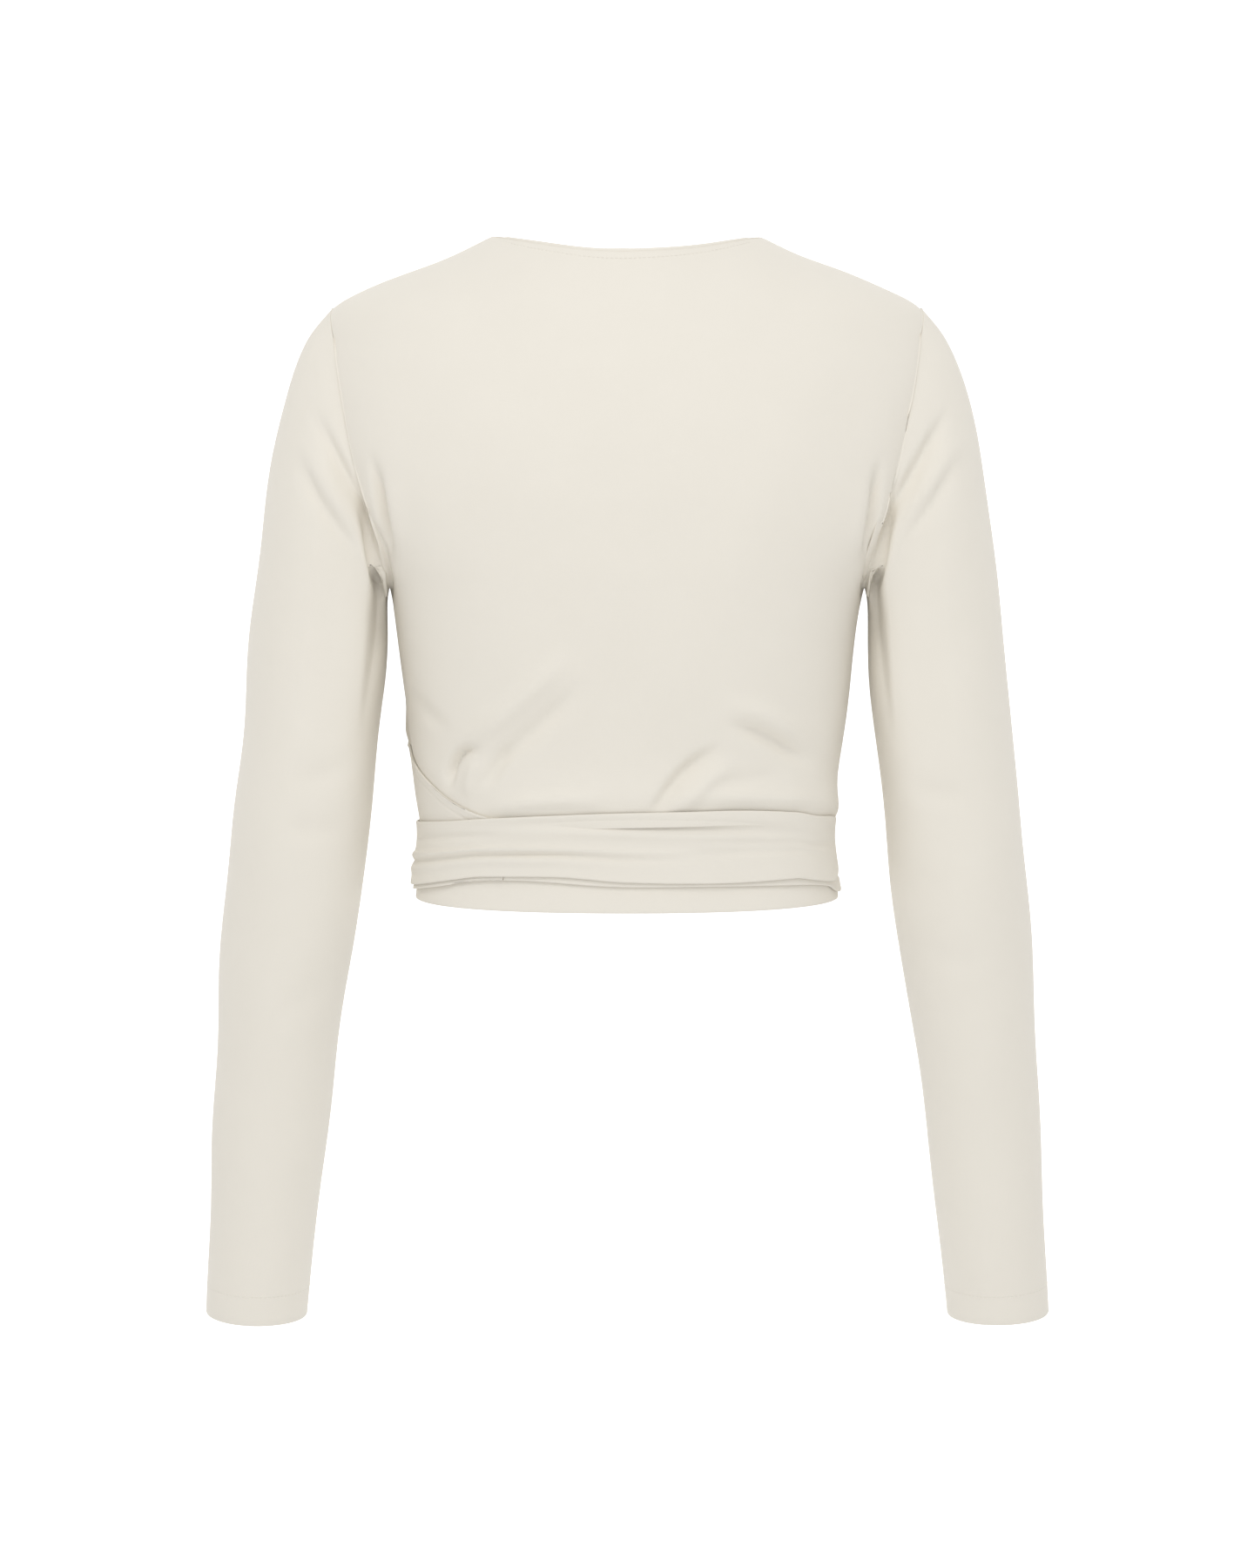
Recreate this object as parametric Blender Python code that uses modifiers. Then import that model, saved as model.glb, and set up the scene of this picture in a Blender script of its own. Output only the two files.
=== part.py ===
"""A long-sleeved wrap top in light jersey, hollow and filled out as if worn. Metres, +Z up.

The wearer faces -Y, so +X is the wearer's left. The origin is the middle of the neck opening,
level with the points where the shoulder seams reach it: the wearer's shoulders carry the top there.

Every panel lies on one form, a stack of rounded sections from the hem to the neck. A column of a
panel is a turn round the form in degrees: 0 is the front, 90 the wearer's left, 180 the back and
270 the wearer's right. Its rows are shares of the way from its lower edge to its upper edge.
Neighbours share columns and rows, so their seams match. Lengths in the tables are in millimetres.
"""

import math

import bmesh
import bpy
from mathutils import Vector

MM = 0.001

# Cloth
WALL = 1.1
PLY = WALL + 1.0  # how far each further layer stands out, with air under it
SEAM = 0.3  # gap between pieces that are sewn edge to edge
SEAM_ROOM = 0.5  # more gap where two pieces meet at an angle, so that their inner sides clear

# Heights, down from the neck points
BACK_NECK = -7.0
SHOULDER_TIP = -42.0
UNDERARM = -206.0
HEM = -389.0

# How flat the back neck's curve runs out at the neck points
BACK_NECK_FLATNESS = 1.7

# Half widths of the neck opening and of the shoulders
NECK_POINT = 79.0
TIP_REACH = 174.0

# Armhole, seen from the side
ARMHOLE_DEPTH = 50.0
ARMHOLE_SKEW = 0.667
ARMHOLE_ROUNDNESS = 1.7

# Fullness of the fronts over the bust
BUST_X = 76.0
BUST_Z = -190.0
BUST_RADIUS = 62.0
BUST_RISE = 9.0

# The slit in the right side seam that lets the left front's tie out
SLIT_LOW = -361.0
SLIT_HIGH = -343.0
SLIT_TAPER = 14.0
SLIT_GAPE = 4.0  # degrees that each edge draws back

# The knot of the two ties, on the right of the front
KNOT_TURN = -27.0
KNOT_Z = -354.0
KNOT_SIZE = (40.0, 19.0, 44.0)
KNOT_SOFTENED = 0.84  # what softening leaves of its size
END_TOP = -354.0
END_FOOT = -402.0
END_LIFT = 2 * PLY + WALL + 2 * SEAM  # the ends' outer side, over both ties

# Mesh fineness
PANEL_STEP = 9.0  # degrees a column
BY_NECK_POINT = 22.5  # one more column, where the neckline turns
TIE_STEP = 4.5
ROWS_TO_UNDERARM = (HEM, -381.0, SLIT_LOW, SLIT_HIGH, -329.0, -304.0, -280.0, -256.0, -231.0)
ROWS_OF_ARMHOLE = 8
ROWS_OF_SLEEVE = 16
TIE_ROWS = 3

FORM = {
    # level: (half width, back depth, front depth, squareness)
    -420.0: (128.0, 85.0, 88.0, 2.25),
    HEM: (124.5, 82.0, 86.0, 2.25),
    -350.0: (119.3, 76.5, 82.0, 2.25),
    -330.0: (122.5, 78.0, 83.0, 2.25),
    -300.0: (126.5, 82.0, 87.0, 2.3),
    -270.0: (130.0, 87.5, 93.0, 2.3),
    -239.0: (134.0, 93.0, 101.0, 2.35),
    UNDERARM: (139.6, 98.0, 107.0, 2.4),
    -187.0: (148.5, 100.0, 108.0, 2.38),
    -172.0: (157.0, 100.5, 106.0, 2.35),
    -150.0: (167.5, 101.0, 102.0, 2.3),
    -120.0: (175.5, 99.0, 92.0, 2.2),
    -76.0: (180.0, 90.0, 72.0, 1.95),
    -55.0: (178.5, 82.0, 61.0, 1.8),
    SHOULDER_TIP: (TIP_REACH, 77.0, 54.0, 1.72),
    -33.0: (158.0, 72.5, 49.0, 1.68),
    -23.0: (132.0, 67.0, 44.0, 1.66),
    -13.0: (106.0, 61.5, 39.0, 1.65),
    0.0: (NECK_POINT, 54.0, 32.0, 1.65),
}

OVER_WRAP = {
    # turn of the right front, which lies on top, and of its tie: (lower edge, upper edge, plies out)
    -81.0: (HEM, 0.0, 0.0),
    -54.0: (HEM, 0.0, 1.0),
    -27.0: (HEM, 0.0, 1.0),
    -9.0: (HEM, -127.0, 1.0),
    0.0: (HEM, -165.0, 1.0),
    18.0: (HEM, -215.0, 1.3),
    45.0: (HEM, -263.0, 1.3),
    72.0: (-387.0, -291.0, 1.0),
    90.0: (-384.0, -301.0, 1.0),
    110.0: (-379.5, -315.0, 1.0),
    124.0: (-375.5, -327.0, 1.0),
    137.0: (-372.0, -334.5, 1.0),
    150.0: (-371.0, -337.5, 1.0),
    180.0: (-373.8, -335.0, 1.0),
    205.0: (-374.0, -335.0, 1.0),
    236.0: (-376.0, -339.0, 1.0),
    252.0: (-379.0, -347.0, 1.0),
    261.0: (-384.0, -368.5, 1.0),
    279.0: (-384.5, -368.5, 1.0),
    306.0: (-374.0, -352.0, 2.0),
    360.0 + KNOT_TURN: (-364.0, -344.0, 2.0),
}

UNDER_WRAP = {
    # the same for the left front, which lies beneath, and its tie, turned the other way round
    -27.0: (HEM, 0.0, 0.0),
    -9.0: (HEM, -127.0, 0.0),
    0.0: (HEM, -165.0, -0.3),
    18.0: (HEM, -218.0, -0.5),
    45.0: (HEM, -275.0, -0.5),
    54.0: (-385.0, -295.0, -0.5),
    63.0: (-376.0, -316.0, -0.7),
    81.0: (SLIT_LOW, SLIT_HIGH, -1.0),
    85.5: (SLIT_LOW, SLIT_HIGH, -1.0),
    90.0: (SLIT_LOW, SLIT_HIGH, 0.05),
    94.5: (-364.0, -342.0, 1.1),
    99.0: (-371.0, -340.0, 2.0),
    103.5: (-376.5, -338.5, 2.0),
    118.0: (-374.0, -336.0, 2.0),
    128.0: (-371.5, -332.8, 2.0),
    155.0: (-372.0, -330.1, 2.0),
    180.0: (-371.0, -330.6, 2.0),
    200.0: (-368.2, -332.5, 2.0),
    223.0: (-369.5, -336.0, 2.0),
    236.0: (-373.0, -338.7, 2.0),
    258.0: (-379.0, -342.0, 2.0),
    270.0: (-381.0, -343.5, 2.0),
    300.0: (-376.0, -346.0, 2.3),
    345.0: (-369.0, -346.0, 2.3),
    360.0 - KNOT_TURN: (-364.0, -344.0, 2.0),
}

SLEEVE = {
    # share of the way down: (outer x, outer z, inner x, inner z, half depth, forward, lean)
    0.00: (174.0, -42.0, 139.6, -206.0, 50.0, 0.0, 0.0),
    0.06: (187.0, -57.0, 140.6, -209.0, 49.5, 0.0, 0.0),
    0.12: (196.5, -78.0, 141.2, -213.0, 49.0, 0.0, 0.0),
    0.19: (204.5, -109.0, 141.6, -218.0, 48.5, 0.0, 0.0),
    0.27: (211.5, -149.0, 141.8, -225.0, 48.0, 0.0, 0.0),
    0.35: (217.5, -192.0, 142.0, -236.0, 47.5, 0.0, 0.0),
    0.43: (222.5, -240.0, 143.0, -256.0, 46.5, 0.0, 0.0),
    0.52: (227.5, -296.0, 147.5, -298.0, 45.0, 0.0, 1.0),
    0.60: (233.5, -343.0, 153.0, -344.0, 44.0, 2.0, 3.0),
    0.68: (237.0, -386.0, 157.5, -388.0, 43.0, 6.0, 6.0),
    0.78: (242.1, -446.0, 167.0, -447.0, 40.0, 15.0, 7.0),
    0.88: (245.6, -522.0, 177.9, -524.0, 36.0, 27.0, 5.0),
    1.00: (252.9, -643.0, 191.6, -645.0, 33.0, 44.0, 4.0),
}

COLOURS = {
    # slot: (linear colour, roughness)
    "jersey": ((0.80, 0.76, 0.68, 1.0), 0.85),
    "jersey_tie": ((0.78, 0.73, 0.65, 1.0), 0.85),
}


def smooth(table, column):
    """A smooth curve through one column of a table, which never overshoots its rows."""
    rows = sorted((key, row[column]) for key, row in table.items())
    grades = [(after[1] - before[1]) / (after[0] - before[0]) for before, after in zip(rows, rows[1:])]
    slopes = [grades[0]]
    for before, after in zip(grades, grades[1:]):
        slopes.append(2 * before * after / (before + after) if before * after > 0 else 0.0)
    slopes.append(grades[-1])

    def value(at):
        at = min(max(at, rows[0][0]), rows[-1][0])
        k = next(i for i in range(len(rows) - 1) if at <= rows[i + 1][0])
        span = rows[k + 1][0] - rows[k][0]
        t = (at - rows[k][0]) / span
        return (
            rows[k][1] * (1 + 2 * t) * (1 - t) ** 2
            + rows[k + 1][1] * t * t * (3 - 2 * t)
            + span * slopes[k] * t * (1 - t) ** 2
            - span * slopes[k + 1] * t * t * (1 - t)
        )

    return value


half_width, back_depth, front_depth, squareness = (smooth(FORM, k) for k in range(4))
over_low, over_high, over_plies = (smooth(OVER_WRAP, k) for k in range(3))
under_low, under_high, under_plies = (smooth(UNDER_WRAP, k) for k in range(3))
sleeve_place = [smooth(SLEEVE, k) for k in range(7)]


def rise(start, end, at):
    """0 at start, 1 at end, eased between them."""
    t = min(max((at - start) / (end - start), 0.0), 1.0)
    return t * t * (3 - 2 * t)


def sin_of(turn):
    return math.sin(math.radians(turn))


def side_of(turn):
    """1 on the back of the form, -1 on its front."""
    return 1 if math.cos(math.radians(turn)) < -1e-9 else -1


def armhole_depth(z):
    """How far the armhole seam lies behind or before the shoulder's middle, at a height."""
    share = min(max((z - UNDERARM) / (SHOULDER_TIP - UNDERARM), 0.0), 1.0)
    across = abs(2 * share**ARMHOLE_SKEW - 1)
    return ARMHOLE_DEPTH * (1 - across**ARMHOLE_ROUNDNESS) ** (1 / ARMHOLE_ROUNDNESS)


def reach(z, side):
    """Half width of a panel at a height: to its side seam, its armhole or the shoulder tip."""
    if z >= SHOULDER_TIP:
        return TIP_REACH
    depth = back_depth(z) if side > 0 else front_depth(z)
    n = squareness(z)
    return half_width(z) * (1 - (armhole_depth(z) / depth) ** n) ** (1 / n)


def on_form(turn, z, side, lift):
    """The point of the form's back (side 1) or front (side -1) at a turn and a height, lifted off."""
    a, n = half_width(z), squareness(z)
    b = back_depth(z) if side > 0 else front_depth(z)
    x = reach(z, side) * sin_of(turn)
    across = min(abs(x) / a, 1.0)
    y = b * (1 - across**n) ** (1 / n)
    outwards = Vector((math.copysign(across ** (n - 1), x) / a, side * (y / b) ** (n - 1) / b, 0))
    if side < 0:
        from_bust = math.hypot(abs(x) - BUST_X, z - BUST_Z) / BUST_RADIUS
        y += BUST_RISE * math.exp(-from_bust * from_bust)
    edge = SEAM / 2 + SEAM_ROOM * (0.3 + 0.7 * rise(UNDERARM, SHOULDER_TIP, z))
    return Vector((math.copysign(min(abs(x), a), x), side * (y + edge), z)) + outwards.normalized() * lift


def steps(start, end, step, more=()):
    """Turns from start to end, on whole steps between them, and more where they are wanted."""
    inner = [k * step for k in range(math.floor(start / step) + 1, math.ceil(end / step))]
    return sorted([start, *inner, *more, end])


def body_rows():
    """Shares of the height of a side seam and its armhole, the armhole's crowded at both its ends."""
    middle, half = (SHOULDER_TIP + UNDERARM) / 2, (SHOULDER_TIP - UNDERARM) / 2
    armhole = [middle - half * math.cos(math.pi * k / ROWS_OF_ARMHOLE) for k in range(ROWS_OF_ARMHOLE + 1)]
    return [(z - HEM) / (SHOULDER_TIP - HEM) for z in (*ROWS_TO_UNDERARM, *armhole)]


def cloth(name, columns, rows, place, slot, closed=False):
    """A sheet whose crossings place(column, row) puts in space, with its wall on the inside."""
    bm = bmesh.new()
    bmesh.ops.create_grid(bm, x_segments=len(columns) - 1, y_segments=len(rows) - 1, size=0.5)
    for vert in bm.verts:
        column = columns[round((vert.co.x + 0.5) * (len(columns) - 1))]
        row = rows[round((vert.co.y + 0.5) * (len(rows) - 1))]
        vert.co = place(column, row) * MM
    if closed:
        bmesh.ops.remove_doubles(bm, verts=bm.verts, dist=1e-6)
    mesh = bpy.data.meshes.new(name)
    bm.to_mesh(mesh)
    bm.free()
    obj = add_piece(name, mesh, slot)
    solidify = obj.modifiers.new("wall", "SOLIDIFY")
    solidify.thickness = WALL * MM
    solidify.offset = -1
    return obj


def add_piece(name, mesh, slot):
    mesh.shade_smooth()
    mesh.materials.append(materials[slot])
    obj = bpy.data.objects.new(name, mesh)
    garment.objects.link(obj)
    return obj


def slit(z):
    """Share of the slit's gape at a height."""
    return rise(SLIT_LOW - SLIT_TAPER, SLIT_LOW, z) * (1 - rise(SLIT_HIGH, SLIT_HIGH + SLIT_TAPER, z))


def shoulder_top(turn):
    """Height of the shoulder seam over a column: where the form is only as wide as that."""
    x = TIP_REACH * abs(sin_of(turn))
    low, high = SHOULDER_TIP, 0.0
    for _ in range(40):
        middle = (low + high) / 2
        low, high = (middle, high) if half_width(middle) > x else (low, middle)
    return (low + high) / 2


NECK_TURN = math.degrees(math.asin(NECK_POINT / TIP_REACH))


def back():
    """The back, from one side seam to the other and up to the shoulder seams and the neck."""

    def top(turn):
        from_middle = abs(turn - 180.0)
        if from_middle >= NECK_TURN - 0.1:
            return shoulder_top(turn)
        return BACK_NECK * (1 - (from_middle / NECK_TURN) ** 2) ** BACK_NECK_FLATNESS

    def place(turn, share):
        z = HEM + (top(turn) - HEM) * share
        if turn == 270.0:
            turn -= SLIT_GAPE * slit(z)
        return on_form(turn, z, 1, 0.0)

    turns = steps(90.0, 270.0, PANEL_STEP, more=(180.0 - BY_NECK_POINT, 180.0 + BY_NECK_POINT))
    return cloth("back", turns, body_rows(), place, "jersey")


def front_right():
    """The right front, on top: it crosses to the left and wraps on to the back, where it narrows."""
    last_turn = 144.0

    def place(turn, share):
        low, high = over_low(turn), over_high(turn)
        if turn <= -NECK_TURN + 0.1:
            high = shoulder_top(turn)
        z = low + (high - low) * share
        lift = PLY * over_plies(turn) * (1 - rise(-60.0, 0.0, z))
        if turn == -90.0:
            turn += SLIT_GAPE * slit(z)
        return on_form(turn, z, side_of(turn), lift)

    turns = steps(-90.0, last_turn, PANEL_STEP, more=(-BY_NECK_POINT,))
    return cloth("front_right", turns, body_rows(), place, "jersey")


def front_left():
    """The left front, beneath: it crosses to the right and narrows to the slit."""
    last_turn = 81.0

    def place(turn, share):
        own = -turn
        low, high = under_low(own), under_high(own)
        if own <= -NECK_TURN + 0.1:
            high = shoulder_top(turn)
        z = low + (high - low) * share
        return on_form(turn, z, -1, PLY * under_plies(own))

    turns = steps(-last_turn, 90.0, PANEL_STEP, more=(BY_NECK_POINT,))
    return cloth("front_left", turns, body_rows(), place, "jersey")


def sleeve(name, side):
    """A set-in sleeve, 1 for the wearer's left and -1 for the right. It starts at the armhole."""

    def armhole(angle):
        z = (SHOULDER_TIP + UNDERARM) / 2 + (SHOULDER_TIP - UNDERARM) / 2 * math.cos(angle)
        half = 1 if math.sin(angle) >= 0 else -1
        return Vector((reach(z - 1e-6, half), half * armhole_depth(z), z))

    def ring(share, angle):
        outer_x, outer_z, inner_x, inner_z, deep, forward, lean = (at(share) for at in sleeve_place)
        outer, inner = Vector((outer_x, -forward, outer_z)), Vector((inner_x, -forward, inner_z))
        tilt = math.radians(lean)
        backwards = Vector((0, math.cos(tilt), -math.sin(tilt)))
        middle, across = (outer + inner) / 2, (outer - inner) / 2
        return middle + across * math.cos(angle) + backwards * deep * math.sin(angle)

    def place(angle, share):
        near = 1 - rise(0.0, 0.3, share)
        point = ring(share, angle) + (armhole(angle) - ring(0.0, angle)) * near
        point.x += (SEAM + SEAM_ROOM) * near
        return Vector((point.x * side, point.y, point.z))

    count = 2 * ROWS_OF_ARMHOLE
    angles = [math.pi * (1 + 2 * k / count * side) for k in range(count + 1)]
    shares = [(1 - k / ROWS_OF_SLEEVE) ** 1.25 for k in range(ROWS_OF_SLEEVE + 1)]
    return cloth(name, angles, shares, place, "jersey", closed=True)


def tie_stretch(name, way, own_from, own_to, low, high, plies):
    """A stretch of tie. Its own turn runs with the form's (way 1) or against it (way -1)."""
    gap = math.degrees(SEAM_ROOM / half_width(KNOT_Z))
    turns = sorted(way * own for own in steps(own_from + gap, own_to - gap, TIE_STEP))

    def place(turn, share):
        own = way * turn
        z = low(own) + (high(own) - low(own)) * share
        return on_form(turn, z, side_of(turn), PLY * plies(own))

    return cloth(name, turns, [k / TIE_ROWS for k in range(TIE_ROWS + 1)], place, "jersey_tie")


def tie_end(name, way):
    """A free end that drops from behind the knot, over the ties, and spreads away from the other."""

    def place(across, share):
        down = 1 - share
        turn = KNOT_TURN + way * (3.6 + 7.0 * down) + across * (2.9 + 2.6 * down)
        z = END_TOP + (END_FOOT - END_TOP) * down
        return on_form(turn, z, -1, END_LIFT)

    return cloth(name, [-1.0, -0.5, 0.0, 0.5, 1.0], [k / 6 for k in range(7)], place, "jersey_tie")


def knot():
    """The square knot of the two ties, a soft lump that stands on the front."""
    bm = bmesh.new()
    bmesh.ops.create_cube(bm, size=1.0)
    bmesh.ops.scale(bm, verts=bm.verts, vec=Vector(KNOT_SIZE) * MM)
    mesh = bpy.data.meshes.new("knot")
    bm.to_mesh(mesh)
    bm.free()
    obj = add_piece("knot", mesh, "jersey_tie")
    soften = obj.modifiers.new("soften", "SUBSURF")
    soften.levels = soften.render_levels = 2
    start = on_form(KNOT_TURN, KNOT_Z, -1, 0.0)
    outwards = on_form(KNOT_TURN, KNOT_Z, -1, 1.0) - start
    obj.location = (start + outwards * (END_LIFT + SEAM + KNOT_SOFTENED * KNOT_SIZE[1] / 2)) * MM
    obj.rotation_euler.z = math.atan2(outwards.x, -outwards.y)
    return obj


for old in list(bpy.data.objects):
    bpy.data.objects.remove(old)

garment = bpy.data.collections.new("wrap_top")
bpy.context.scene.collection.children.link(garment)

materials = {}
for slot, (colour, rough) in COLOURS.items():
    material = bpy.data.materials.new(slot)
    material.use_nodes = True
    shader = material.node_tree.nodes["Principled BSDF"]
    shader.inputs["Base Color"].default_value = colour
    shader.inputs["Roughness"].default_value = rough
    shader.inputs["Metallic"].default_value = 0.0
    materials[slot] = material

back()
front_right()
front_left()
sleeve("sleeve_left", 1)
sleeve("sleeve_right", -1)
tie_stretch("tie_right_back", 1, 144.0, 270.0, over_low, over_high, over_plies)
tie_stretch("tie_right_front", 1, 270.0, 360.0 + KNOT_TURN, over_low, over_high, over_plies)
tie_stretch("tie_left_back", -1, 81.0, 270.0, under_low, under_high, under_plies)
tie_stretch("tie_left_front", -1, 270.0, 360.0 - KNOT_TURN, under_low, under_high, under_plies)
knot()
tie_end("end_right", -1)
tie_end("end_left", 1)
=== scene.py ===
# %% [markdown]
# # A wrap top in cream jersey, filled out as if worn
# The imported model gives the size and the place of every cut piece. This script gives each of them
# its cloth: a finer sheet on the same form, with its folds, turned edges, stitches and knit.

# %% The frame
import math

import bmesh
import bpy
import numpy as np
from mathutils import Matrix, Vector


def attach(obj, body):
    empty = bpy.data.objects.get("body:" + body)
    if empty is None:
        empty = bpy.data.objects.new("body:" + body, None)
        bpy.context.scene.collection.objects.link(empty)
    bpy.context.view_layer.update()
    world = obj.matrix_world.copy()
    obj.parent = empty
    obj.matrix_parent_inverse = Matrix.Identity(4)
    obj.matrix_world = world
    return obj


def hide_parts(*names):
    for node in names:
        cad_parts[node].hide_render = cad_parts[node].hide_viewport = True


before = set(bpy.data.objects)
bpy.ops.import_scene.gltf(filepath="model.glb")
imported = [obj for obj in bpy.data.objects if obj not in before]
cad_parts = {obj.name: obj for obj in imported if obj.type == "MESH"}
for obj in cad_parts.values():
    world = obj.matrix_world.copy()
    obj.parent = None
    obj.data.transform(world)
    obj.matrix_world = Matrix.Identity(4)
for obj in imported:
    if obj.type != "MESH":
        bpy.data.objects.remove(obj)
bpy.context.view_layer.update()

MM = 0.001
print("cloth nodes:", ", ".join(sorted(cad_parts)))

# %% [markdown]
# ## The form under the cloth
# A filled-out garment has no body in it, but every panel still lies on the same figure. The figure
# could be sculpted once and the panels cut from it. A stack of rounded sections is easier to read:
# each row gives a level's half width, its depth to the back and to the front, and how square its
# corners are. The same rows shape the body of the plain solids in the frame. The slit, the lift of
# the free ends and the sleeves' table differ from theirs, the sleeves by up to 3.5 mm.

# %% The form's sections, in millimetres
UNDERARM = -206.0
SHOULDER_TIP = -42.0
HEM = -389.0
BACK_NECK = -7.0
BACK_NECK_FLATNESS = 1.7
NECK_POINT = 79.0
ARMHOLE_DEPTH = 50.0
ARMHOLE_SKEW = 0.667
ARMHOLE_ROUNDNESS = 1.7
BUST = {"x": 76.0, "z": -190.0, "radius": 62.0, "rise": 9.0}
PLY = 2.1  # from one layer of cloth to the next
WALL = 0.7
HALF_GAP = 0.15

FORM = {
    # level: (half width, back depth, front depth, squareness)
    -420.0: (128.0, 85.0, 88.0, 2.25),
    HEM: (124.5, 82.0, 86.0, 2.25),
    -350.0: (119.3, 76.5, 82.0, 2.25),
    -330.0: (122.5, 78.0, 83.0, 2.25),
    -300.0: (126.5, 82.0, 87.0, 2.3),
    -270.0: (130.0, 87.5, 93.0, 2.3),
    -239.0: (134.0, 93.0, 101.0, 2.35),
    UNDERARM: (139.6, 98.0, 107.0, 2.4),
    -187.0: (148.5, 100.0, 108.0, 2.38),
    -172.0: (157.0, 100.5, 106.0, 2.35),
    -150.0: (167.5, 101.0, 102.0, 2.3),
    -120.0: (175.5, 99.0, 92.0, 2.2),
    -76.0: (180.0, 90.0, 72.0, 1.95),
    -55.0: (178.5, 82.0, 61.0, 1.8),
    SHOULDER_TIP: (174.0, 77.0, 54.0, 1.72),
    -33.0: (158.0, 72.5, 49.0, 1.68),
    -23.0: (132.0, 67.0, 44.0, 1.66),
    -13.0: (106.0, 61.5, 39.0, 1.65),
    0.0: (NECK_POINT, 54.0, 32.0, 1.65),
}


# %% Curves through the columns of a table
def curve(table, column, soften=0.0, step=0.25):
    """A smooth curve through one column of a table, then softened over a few millimetres."""
    keys = np.array(sorted(table), float)
    values = np.array([table[key][column] for key in sorted(table)], float)
    grades = np.diff(values) / np.diff(keys)
    before, after = grades[:-1], grades[1:]
    with np.errstate(divide="ignore", invalid="ignore"):
        inner = np.where(before * after > 0, 2 * before * after / (before + after), 0.0)
    slopes = np.concatenate([grades[:1], inner, grades[-1:]])
    margin = 4 * soften
    at = np.arange(keys[0] - margin, keys[-1] + margin + step, step)
    k = np.clip(np.searchsorted(keys, at, side="right") - 1, 0, len(keys) - 2)
    span = keys[k + 1] - keys[k]
    t = (at - keys[k]) / span
    line = values[k] * (1 + 2 * t) * (1 - t) ** 2 + values[k + 1] * t * t * (3 - 2 * t)
    line += span * slopes[k] * t * (1 - t) ** 2 - span * slopes[k + 1] * t * t * (1 - t)
    line = np.where(at < keys[0], values[0] + slopes[0] * (at - keys[0]), line)
    line = np.where(at > keys[-1], values[-1] + slopes[-1] * (at - keys[-1]), line)
    if soften:
        window = np.exp(-0.5 * (np.arange(-margin, margin + step / 2, step) / soften) ** 2)
        line = np.convolve(line, window / window.sum(), mode="same")
    return lambda x: np.interp(np.clip(x, keys[0], keys[-1]), at, line)


half_width, back_depth, front_depth, squareness = (curve(FORM, k, soften=4.0) for k in range(4))
TIP_REACH = float(half_width(SHOULDER_TIP))
NECK_TURN = math.degrees(math.asin(NECK_POINT / TIP_REACH))
print(f"shoulder reach {TIP_REACH:.1f} mm, neck points at {NECK_TURN:.1f} degrees")


# %% [markdown]
# ## A point of the form
# A column of a panel is a turn round the figure: 0 is the front, 90 the wearer's left, 180 the back.
# Above the underarm a panel is only as wide as its armhole lets it be, so the same columns follow
# the armhole seam by themselves.

# %% Points on the form
def rise(start, end, at):
    """0 at start, 1 at end, eased between them."""
    t = np.clip((np.asarray(at, float) - start) / (end - start), 0.0, 1.0)
    return t * t * (3 - 2 * t)


def armhole_depth(z):
    share = np.clip((z - UNDERARM) / (SHOULDER_TIP - UNDERARM), 0.0, 1.0)
    across = np.abs(2 * share**ARMHOLE_SKEW - 1)
    return ARMHOLE_DEPTH * np.maximum(1 - across**ARMHOLE_ROUNDNESS, 0) ** (1 / ARMHOLE_ROUNDNESS)


def depth_of(z, back):
    return np.where(back, back_depth(z), front_depth(z))


def reach(z, back):
    """Half width of a panel: to its side seam, its armhole or the shoulder tip."""
    n = squareness(z)
    cut = half_width(z) * (1 - (armhole_depth(z) / depth_of(z, back)) ** n) ** (1 / n)
    return np.where(z >= SHOULDER_TIP, TIP_REACH, cut)


def on_form(turn, z, back, lift):
    """Points of the form at turns and heights, lifted off it. Arrays in, array out."""
    a, b, n = half_width(z), depth_of(z, back), squareness(z)
    side = np.where(back, 1.0, -1.0)
    x = reach(z, back) * np.sin(np.radians(turn))
    across = np.minimum(np.abs(x) / a, 1.0)
    y = b * np.maximum(1 - across**n, 0) ** (1 / n)
    out_x = np.sign(x) * across ** (n - 1) / a
    out_y = side * (y / b) ** (n - 1) / b
    length = np.hypot(out_x, out_y)
    from_bust = np.hypot(np.abs(x) - BUST["x"], z - BUST["z"]) / BUST["radius"]
    y = y + np.where(back, 0.0, BUST["rise"] * np.exp(-(from_bust**2))) + HALF_GAP
    x = np.sign(x) * np.minimum(np.abs(x), a)
    return np.stack([x + out_x / length * lift, side * y + out_y / length * lift, z + 0 * x], axis=-1)


heights = np.linspace(SHOULDER_TIP, 0.0, 400)


def shoulder_top(turn):
    """Height of the shoulder seam over a column: where the form is only as wide as that."""
    x = TIP_REACH * np.abs(np.sin(np.radians(turn)))
    return np.interp(x, half_width(heights)[::-1], heights[::-1])


# %% [markdown]
# ## The two wraps
# The right front lies on top. Its neckline runs on across the left side, down the back and into the
# first tie. The left front lies beneath and its tie comes out through a slit in the right side seam,
# then winds round the back over everything else. One table each, keyed by turn, describes them.

# %% The edges of the wraps and their ties
SLIT_LOW, SLIT_HIGH, SLIT_TAPER, SLIT_GAPE = -361.0, -343.0, 5.0, 2.0
KNOT_TURN, KNOT_Z = -27.0, -354.0
OVER_END, UNDER_END = 360.0 + KNOT_TURN, 360.0 - KNOT_TURN  # where each tie ends, on its own turn

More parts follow.
